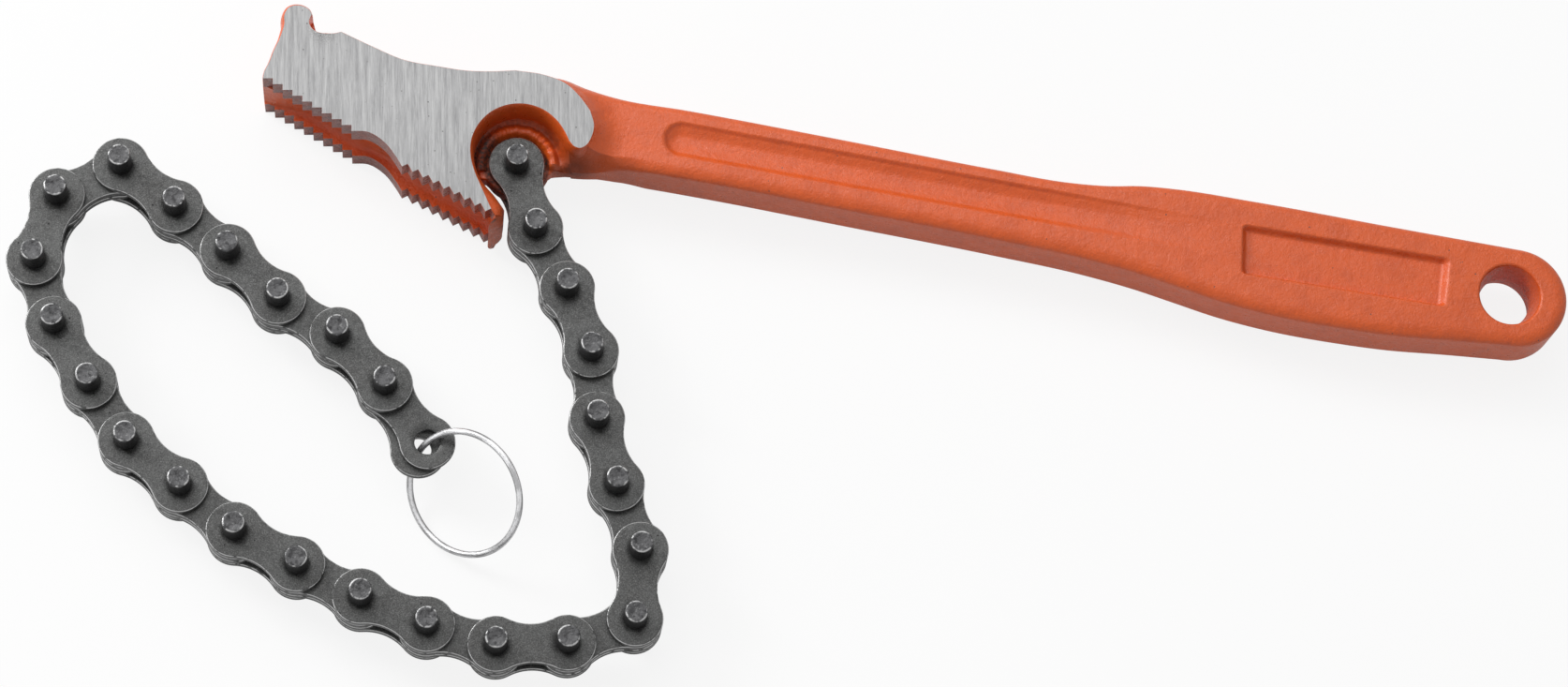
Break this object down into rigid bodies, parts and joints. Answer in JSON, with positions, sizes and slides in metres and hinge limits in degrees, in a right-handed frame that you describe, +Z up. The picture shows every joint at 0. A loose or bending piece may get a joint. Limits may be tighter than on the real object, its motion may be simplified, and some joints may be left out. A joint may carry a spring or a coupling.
{
  "type": "chain wrench",
  "caption": "Chain wrench: forged toothed head and long handle in one piece, with a long-pin plate chain on an anchor pin and a wire ring at its end.",
  "frame": {"origin": "under the middle of the whole tool's box, on the surface that it lies on", "axes": "+X along the handle towards its hanging hole, +Y from the chain towards the hook side of the head, +Z up along the chain pins"},
  "size_m": [0.3514, 0.1434, 0.022],
  "materials": {
    "orange_paint": "semi-gloss orange enamel on a forging, its head's faces ground bright",
    "chain_steel": "dark oxide finish with burnished edges",
    "zinc_wire": "bright zinc plated wire"
  },
  "bodies": {
    "wrench": {"wrench_body": "orange_paint"},
    "link_01": {"link_01_lower_plate": "chain_steel", "link_01_pin_plate": "chain_steel"},
    "link_02": {"link_02_lower_plate": "chain_steel", "link_02_upper_plate": "chain_steel"},
    "link_03": {"link_03_lower_plate": "chain_steel", "link_03_pin_plate": "chain_steel"},
    "link_04": {"link_04_lower_plate": "chain_steel", "link_04_upper_plate": "chain_steel"},
    "link_05": {"link_05_lower_plate": "chain_steel", "link_05_pin_plate": "chain_steel"},
    "link_06": {"link_06_lower_plate": "chain_steel", "link_06_upper_plate": "chain_steel"},
    "link_07": {"link_07_lower_plate": "chain_steel", "link_07_pin_plate": "chain_steel"},
    "link_08": {"link_08_lower_plate": "chain_steel", "link_08_upper_plate": "chain_steel"},
    "link_09": {"link_09_lower_plate": "chain_steel", "link_09_pin_plate": "chain_steel"},
    "link_10": {"link_10_lower_plate": "chain_steel", "link_10_upper_plate": "chain_steel"},
    "link_11": {"link_11_lower_plate": "chain_steel", "link_11_pin_plate": "chain_steel"},
    "link_12": {"link_12_lower_plate": "chain_steel", "link_12_upper_plate": "chain_steel"},
    "link_13": {"link_13_lower_plate": "chain_steel", "link_13_pin_plate": "chain_steel"},
    "link_14": {"link_14_lower_plate": "chain_steel", "link_14_upper_plate": "chain_steel"},
    "link_15": {"link_15_lower_plate": "chain_steel", "link_15_pin_plate": "chain_steel"},
    "link_16": {"link_16_lower_plate": "chain_steel", "link_16_upper_plate": "chain_steel"},
    "link_17": {"link_17_lower_plate": "chain_steel", "link_17_pin_plate": "chain_steel"},
    "link_18": {"link_18_lower_plate": "chain_steel", "link_18_upper_plate": "chain_steel"},
    "link_19": {"link_19_lower_plate": "chain_steel", "link_19_pin_plate": "chain_steel"},
    "link_20": {"link_20_lower_plate": "chain_steel", "link_20_upper_plate": "chain_steel"},
    "link_21": {"link_21_lower_plate": "chain_steel", "link_21_pin_plate": "chain_steel"},
    "link_22": {"link_22_lower_plate": "chain_steel", "link_22_upper_plate": "chain_steel"},
    "link_23": {"link_23_lower_plate": "chain_steel", "link_23_pin_plate": "chain_steel"},
    "link_24": {"link_24_lower_plate": "chain_steel", "link_24_upper_plate": "chain_steel"},
    "link_25": {"link_25_lower_plate": "chain_steel", "link_25_pin_plate": "chain_steel"},
    "link_26": {"link_26_lower_plate": "chain_steel", "link_26_upper_plate": "chain_steel"},
    "ring": {"end_ring": "zinc_wire"}
  },
  "joints": [
    {"name": "pin_01_hinge", "type": "hinge", "parent": "wrench", "child": "link_01", "pos_m": [-0.06727, 0.0457, 0.011], "axis": [0, 0, 1], "range_deg": [-2, 26]},
    {"name": "pin_02_hinge", "type": "hinge", "parent": "link_01", "child": "link_02", "pos_m": [-0.06032, 0.03143, 0.011], "axis": [0, 0, -1], "range_deg": [-52, 25]},
    {"name": "pin_03_hinge", "type": "hinge", "parent": "link_02", "child": "link_03", "pos_m": [-0.05076, 0.01875, 0.011], "axis": [0, 0, 1], "range_deg": [-11, 64]},
    {"name": "pin_04_hinge", "type": "hinge", "parent": "link_03", "child": "link_04", "pos_m": [-0.04282, 0.005, 0.011], "axis": [0, 0, -1], "range_deg": [-26, 16]},
    {"name": "pin_05_hinge", "type": "hinge", "parent": "link_04", "child": "link_05", "pos_m": [-0.03871, -0.01033, 0.011], "axis": [0, 0, 1], "range_deg": [-14, 59]},
    {"name": "pin_06_hinge", "type": "hinge", "parent": "link_05", "child": "link_06", "pos_m": [-0.03176, -0.0246, 0.011], "axis": [0, 0, -1], "range_deg": [-35, 12]},
    {"name": "pin_07_hinge", "type": "hinge", "parent": "link_06", "child": "link_07", "pos_m": [-0.02394, -0.03842, 0.011], "axis": [0, 0, -1], "range_deg": [-63, 11]},
    {"name": "pin_08_hinge", "type": "hinge", "parent": "link_07", "child": "link_08", "pos_m": [-0.02242, -0.05422, 0.011], "axis": [0, 0, 1], "range_deg": [-6, 62]},
    {"name": "pin_09_hinge", "type": "hinge", "parent": "link_08", "child": "link_09", "pos_m": [-0.0361, -0.06228, 0.011], "axis": [0, 0, 1], "range_deg": [-11, 27]},
    {"name": "pin_10_hinge", "type": "hinge", "parent": "link_09", "child": "link_10", "pos_m": [-0.05165, -0.06544, 0.011], "axis": [0, 0, -1], "range_deg": [-27, 12]},
    {"name": "pin_11_hinge", "type": "hinge", "parent": "link_10", "child": "link_11", "pos_m": [-0.06744, -0.06378, 0.011], "axis": [0, 0, 1], "range_deg": [-8, 39]},
    {"name": "pin_12_hinge", "type": "hinge", "parent": "link_11", "child": "link_12", "pos_m": [-0.08291, -0.06021, 0.011], "axis": [0, 0, -1], "range_deg": [-24, 16]},
    {"name": "pin_13_hinge", "type": "hinge", "parent": "link_12", "child": "link_13", "pos_m": [-0.09809, -0.05557, 0.011], "axis": [0, 0, -1], "range_deg": [-37, 10]},
    {"name": "pin_14_hinge", "type": "hinge", "parent": "link_13", "child": "link_14", "pos_m": [-0.1131, -0.0504, 0.011], "axis": [0, 0, -1], "range_deg": [-40, 12]},
    {"name": "pin_15_hinge", "type": "hinge", "parent": "link_14", "child": "link_15", "pos_m": [-0.12692, -0.04258, 0.011], "axis": [0, 0, 1], "range_deg": [-9, 50]},
    {"name": "pin_16_hinge", "type": "hinge", "parent": "link_15", "child": "link_16", "pos_m": [-0.14059, -0.03453, 0.011], "axis": [0, 0, 1], "range_deg": [-7, 43]},
    {"name": "pin_17_hinge", "type": "hinge", "parent": "link_16", "child": "link_17", "pos_m": [-0.15152, -0.02301, 0.011], "axis": [0, 0, -1], "range_deg": [-14, 6]},
    {"name": "pin_18_hinge", "type": "hinge", "parent": "link_17", "child": "link_18", "pos_m": [-0.16194, -0.01103, 0.011], "axis": [0, 0, -1], "range_deg": [-11, 5]},
    {"name": "pin_19_hinge", "type": "hinge", "parent": "link_18", "child": "link_19", "pos_m": [-0.16939, 0.00299, 0.011], "axis": [0, 0, 1], "range_deg": [-5, 7]},
    {"name": "pin_20_hinge", "type": "hinge", "parent": "link_19", "child": "link_20", "pos_m": [-0.16759, 0.01876, 0.011], "axis": [0, 0, -1], "range_deg": [-5, 5]},
    {"name": "pin_21_hinge", "type": "hinge", "parent": "link_20", "child": "link_21", "pos_m": [-0.15508, 0.02853, 0.011], "axis": [0, 0, 1], "range_deg": [-5, 6]},
    {"name": "pin_22_hinge", "type": "hinge", "parent": "link_21", "child": "link_22", "pos_m": [-0.14107, 0.02108, 0.011], "axis": [0, 0, 1], "range_deg": [-6, 8]},
    {"name": "pin_23_hinge", "type": "hinge", "parent": "link_22", "child": "link_23", "pos_m": [-0.12739, 0.01302, 0.011], "axis": [0, 0, -1], "range_deg": [-9, 8]},
    {"name": "pin_24_hinge", "type": "hinge", "parent": "link_23", "child": "link_24", "pos_m": [-0.11415, 0.00426, 0.011], "axis": [0, 0, -1], "range_deg": [-12, 10]},
    {"name": "pin_25_hinge", "type": "hinge", "parent": "link_24", "child": "link_25", "pos_m": [-0.09943, -0.00169, 0.011], "axis": [0, 0, -1], "range_deg": [-15, 15]},
    {"name": "pin_26_hinge", "type": "hinge", "parent": "link_25", "child": "link_26", "pos_m": [-0.08684, -0.01135, 0.011], "axis": [0, 0, 1], "range_deg": [-25, 25]},
    {"name": "ring_swing", "type": "hinge", "parent": "link_26", "child": "ring", "pos_m": [-0.07599, -0.02288, 0.0107], "axis": [0.4575, 0.5721, 0.6807], "range_deg": [-70, 70]}
  ]
}
